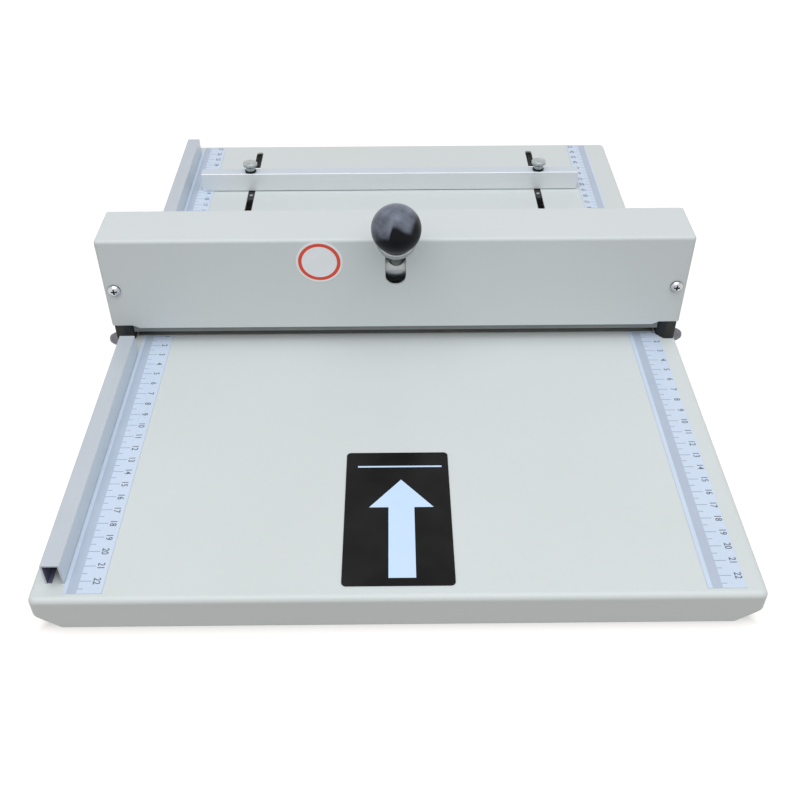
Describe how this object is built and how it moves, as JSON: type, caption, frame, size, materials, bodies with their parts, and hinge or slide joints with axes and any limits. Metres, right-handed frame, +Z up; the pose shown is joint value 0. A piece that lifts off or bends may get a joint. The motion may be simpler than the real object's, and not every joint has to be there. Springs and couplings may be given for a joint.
{
  "type": "desktop paper creasing machine",
  "caption": "Desktop paper creasing press: a flat metal bed with side lays, scales and a sliding backstop, and a ball-ended hand lever that cams a blade down into a grooved die.",
  "frame": {"origin": "on the table, under the middle of the bed", "axes": "+X to the right along the crease, +Y from the lever side to the rear of the bed, +Z up"},
  "size_m": [0.392, 0.5094, 0.142],
  "materials": {
    "light_enamel": "semi-gloss powder coat, warm light grey",
    "black_enamel": "satin black paint",
    "beam_black": "satin dark grey paint",
    "die_steel": "ground steel, browned dark",
    "blade_steel": "ground hardened steel",
    "shaft_steel": "turned steel",
    "lever_steel": "satin nickel plate",
    "bronze": "sintered bronze",
    "knob_black": "polished black thermoset",
    "screw_zinc": "bright zinc plate",
    "screw_black": "black oxide",
    "spring_steel": "spring wire, plain",
    "lay_aluminium": "satin anodised",
    "stop_aluminium": "extruded, satin anodised",
    "scale_plastic": "printed plastic film",
    "shoe_plastic": "moulded black nylon",
    "plate_plastic": "printed plastic plate",
    "disc_plastic": "printed sticker",
    "rubber": "moulded rubber"
  },
  "bodies": {
    "machine": {"bed": "light_enamel", "rubber_feet": "rubber", "foot_screws": "screw_zinc", "foot_nuts": "screw_zinc", "lower_beam": "beam_black", "crease_die": "die_steel", "die_screws": "screw_black", "end_block_left": "black_enamel", "end_block_right": "black_enamel", "block_screws": "screw_black", "side_bolts": "screw_zinc", "housing_cover": "light_enamel", "cover_screws": "screw_zinc", "tie_beam": "beam_black", "tie_screws": "screw_black", "shaft_saddles": "beam_black", "saddle_screws": "screw_black", "shaft_bushes": "bronze", "return_springs": "spring_steel", "front_guide": "lay_aluminium", "rear_guide": "lay_aluminium", "guide_blocks": "shoe_plastic", "guide_screws": "screw_zinc", "ruler_front_left": "scale_plastic", "ruler_front_right": "scale_plastic", "ruler_rear_left": "scale_plastic", "ruler_rear_right": "scale_plastic", "arrow_label": "plate_plastic", "round_label": "disc_plastic"},
    "lever": {"cam_shaft": "shaft_steel", "shaft_rings": "spring_steel", "cam_left": "shaft_steel", "cam_right": "shaft_steel", "cam_pins": "spring_steel", "lever_hub": "lever_steel", "hub_pin": "spring_steel", "lever_stem": "lever_steel", "ball_knob": "knob_black"},
    "press": {"press_bar": "black_enamel", "crease_blade": "blade_steel", "blade_screws": "screw_black"},
    "backstop": {"backstop_bar": "stop_aluminium", "slot_shoes": "shoe_plastic", "shoe_pins": "screw_zinc", "clamp_nuts": "screw_zinc", "thumb_washers": "screw_black"},
    "thumb_left": {"thumb_screw_left": "screw_zinc"},
    "thumb_right": {"thumb_screw_right": "screw_zinc"}
  },
  "joints": [
    {"name": "lever_pivot", "type": "hinge", "parent": "machine", "child": "lever", "pos_m": [0, -0.0208, 0.0795], "axis": [1, 0, 0], "range_deg": [0, 47]},
    {"name": "press_slide", "type": "slide", "parent": "machine", "child": "press", "axis": [0, 0, -1], "range_m": [0, 0.0058], "stiffness_N_per_m": 3000, "springref_m": -0.012, "deforming": ["return_springs"]},
    {"name": "backstop_slide", "type": "slide", "parent": "machine", "child": "backstop", "axis": [0, 1, 0], "range_m": [-0.117, 0.046]},
    {"name": "thumb_screw_left_turn", "type": "hinge", "parent": "backstop", "child": "thumb_left", "pos_m": [-0.1185, 0.1753, 0.0467], "axis": [0, 0, 1], "continuous": true},
    {"name": "thumb_screw_right_turn", "type": "hinge", "parent": "backstop", "child": "thumb_right", "pos_m": [0.1185, 0.1753, 0.0467], "axis": [0, 0, 1], "continuous": true}
  ],
  "couplings": [
    {"joint": "lever_pivot", "follows": "press_slide", "rad_per_m": 141.42}
  ]
}
